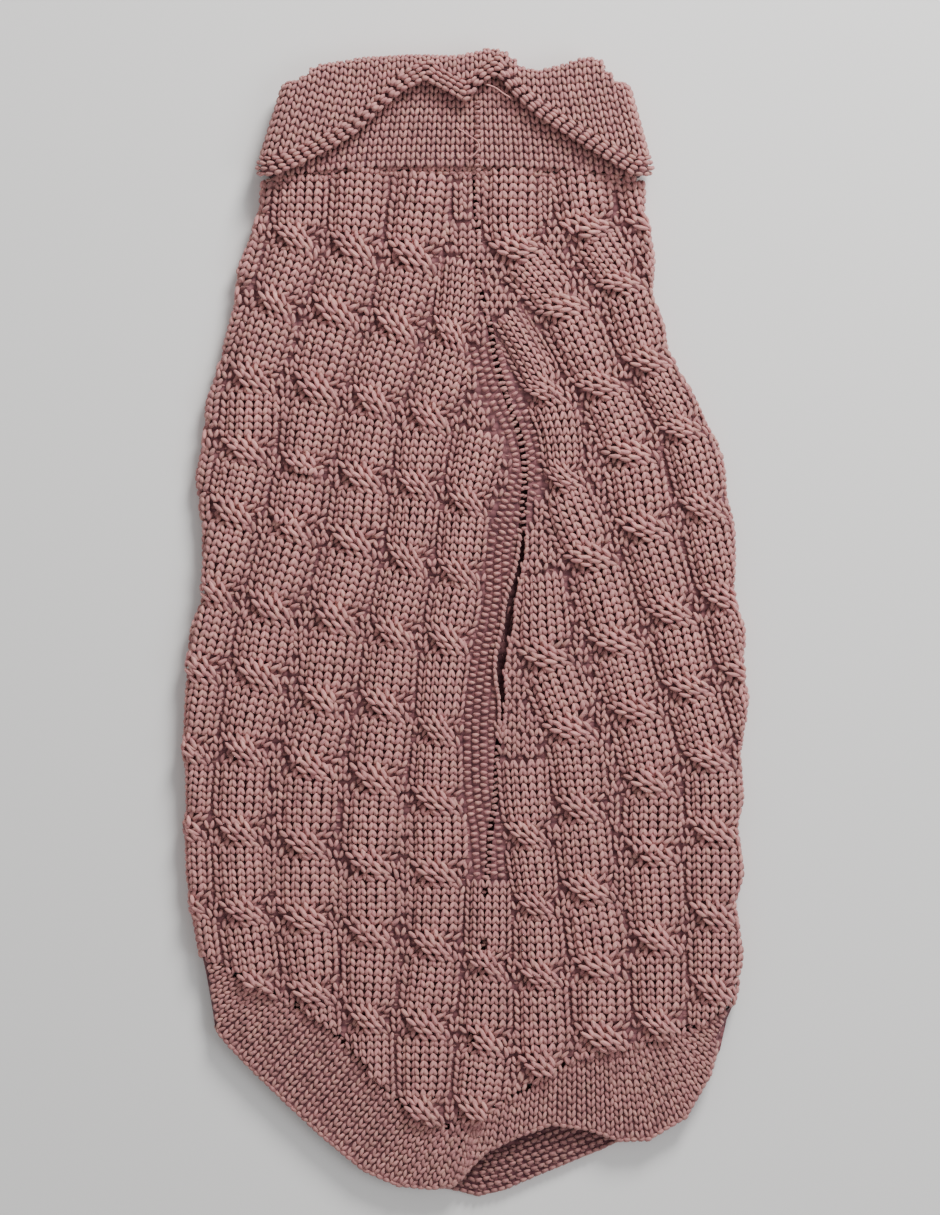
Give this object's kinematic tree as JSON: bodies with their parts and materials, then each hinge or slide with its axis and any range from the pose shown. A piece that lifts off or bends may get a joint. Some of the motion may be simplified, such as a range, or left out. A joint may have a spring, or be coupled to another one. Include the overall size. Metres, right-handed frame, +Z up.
{
  "type": "cable-knit pet sweater with folded turtleneck, laid flat",
  "caption": "Cable-knit turtleneck sweater for a small dog or cat, laid flat with its centre-back seam and leash slit up, ribbed collar turned down, ribbed hem.",
  "frame": {"origin": "centre of the bounding box's bottom face, on the surface the sweater lies on", "axes": "+Z up from the surface, +Y along the garment towards the neck, +X across it to the right as seen from above with the neck away"},
  "size_m": [0.2204, 0.452, 0.014],
  "materials": {
    "knit": "heathered dusty rose acrylic knit, matt with a soft fibre sheen",
    "rib": "heathered dusty rose acrylic rib, matt with a soft fibre sheen"
  },
  "bodies": {
    "root": {"back_left": "knit", "back_right": "knit", "belly": "knit", "hem_left": "rib", "hem_right": "rib", "hem_belly": "rib", "collar": "rib"}
  },
  "joints": []
}
